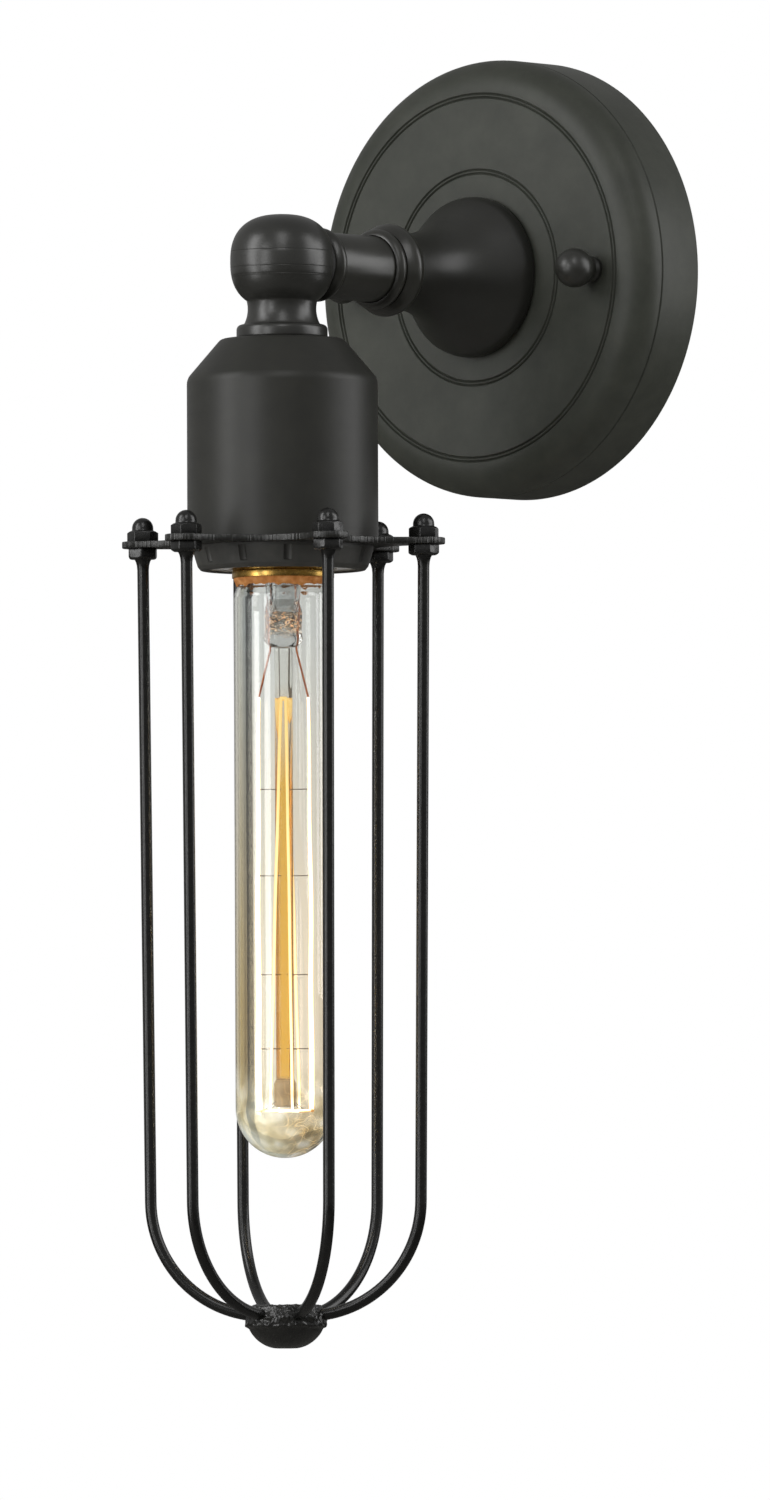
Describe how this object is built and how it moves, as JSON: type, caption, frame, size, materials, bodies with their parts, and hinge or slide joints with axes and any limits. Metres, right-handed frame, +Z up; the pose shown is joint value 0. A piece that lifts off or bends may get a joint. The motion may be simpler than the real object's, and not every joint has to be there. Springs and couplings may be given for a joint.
{
  "type": "led wall sconce",
  "caption": "Black wall sconce: domed round backplate, short turned arm, swivel ball, socket cup, long open wire cage and a tubular filament bulb.",
  "frame": {"origin": "on the wall, at the middle of the backplate and of the two box screw slots", "axes": "+Z up along the lantern, the wall is the plane y = 0, and the arm reaches out along -Y"},
  "size_m": [0.1142, 0.1404, 0.3357],
  "materials": {
    "plate_black": "matte",
    "oiled_black": "satin",
    "cage_black": "satin",
    "zinc_steel": "satin",
    "brass": "satin",
    "black_fibre": "matte",
    "black_phenolic": "satin",
    "glazed_body": "gloss",
    "black_glass": "gloss",
    "cement": "matte",
    "tinted_glass": "polished",
    "clear_glass": "polished",
    "amber_glass": "polished",
    "copper": "satin",
    "support_wire": "satin",
    "hot_filament": "satin"
  },
  "bodies": {
    "bracket": {"backplate": "plate_black", "mounting_strap": "zinc_steel", "mounting_studs": "zinc_steel", "stud_lock_nuts": "zinc_steel", "ball_nuts": "plate_black", "earthing_screw": "brass", "arm_nipple": "zinc_steel", "nipple_washer": "zinc_steel", "nipple_lock_nut": "zinc_steel", "arm_bell": "oiled_black", "arm_collar": "oiled_black", "arm_tube": "oiled_black", "arm_flange": "oiled_black"},
    "lantern": {"friction_washer": "black_fibre", "swivel_nipple": "zinc_steel", "spring_washer": "zinc_steel", "round_lock_nut": "zinc_steel", "swivel_ball": "oiled_black", "cup_nipple": "zinc_steel", "cup_lock_nut": "zinc_steel", "socket_cup": "oiled_black", "lampholder_cap": "glazed_body", "lampholder_body": "glazed_body", "screw_shell": "brass", "centre_contact": "brass", "terminal_screws": "brass", "retaining_ring": "black_phenolic", "cage_spider": "cage_black", "cage_wire_1": "cage_black", "cage_wire_2": "cage_black", "cage_wire_3": "cage_black", "cage_wire_4": "cage_black", "cage_wire_5": "cage_black", "cage_wire_6": "cage_black", "cage_hex_nuts": "cage_black", "cage_cap_nuts": "cage_black", "cage_hub": "cage_black"},
    "bulb": {"bulb_shell": "brass", "bulb_insulator": "black_glass", "bulb_tip_contact": "zinc_steel", "basing_cement": "cement", "bulb_glass": "tinted_glass", "glass_stem": "clear_glass", "glass_rod": "amber_glass", "lead_wires": "copper", "filament_supports": "support_wire", "filament": "hot_filament"}
  },
  "joints": [
    {"name": "head_swivel", "type": "hinge", "parent": "bracket", "child": "lantern", "pos_m": [0, -0.0981, 0], "axis": [0, 1, 0], "range_deg": [-90, 90]},
    {"name": "bulb_unscrew", "type": "slide", "parent": "lantern", "child": "bulb", "axis": [0, 0, -1], "range_m": [0, 0.028]}
  ]
}
